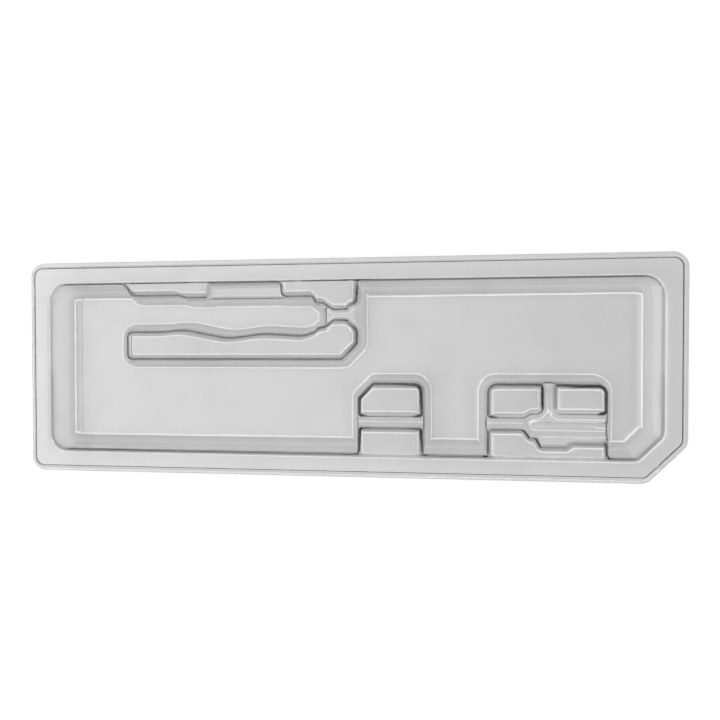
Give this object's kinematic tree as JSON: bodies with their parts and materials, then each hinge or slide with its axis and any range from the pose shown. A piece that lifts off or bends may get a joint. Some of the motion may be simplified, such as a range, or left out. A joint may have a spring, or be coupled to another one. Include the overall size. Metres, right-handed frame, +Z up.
{
  "type": "plastic inner tray",
  "caption": "Clear thermoformed inner tray for a presentation box, with a stepped rim, a cut-off corner, a nest for a wavy grip and blocks with saddles for a rod.",
  "frame": {"origin": "centre of the bounding box, on the underside of the floor", "axes": "+X along the tray, to the end with the cut-off corner; +Y to the back wall that carries the grip nest; +Z up, out of the open side"},
  "size_m": [0.45, 0.149, 0.022],
  "materials": {
    "clear_sheet": "clear, glossy thermoformed sheet"
  },
  "bodies": {
    "root": {"tray": "clear_sheet"}
  },
  "joints": []
}
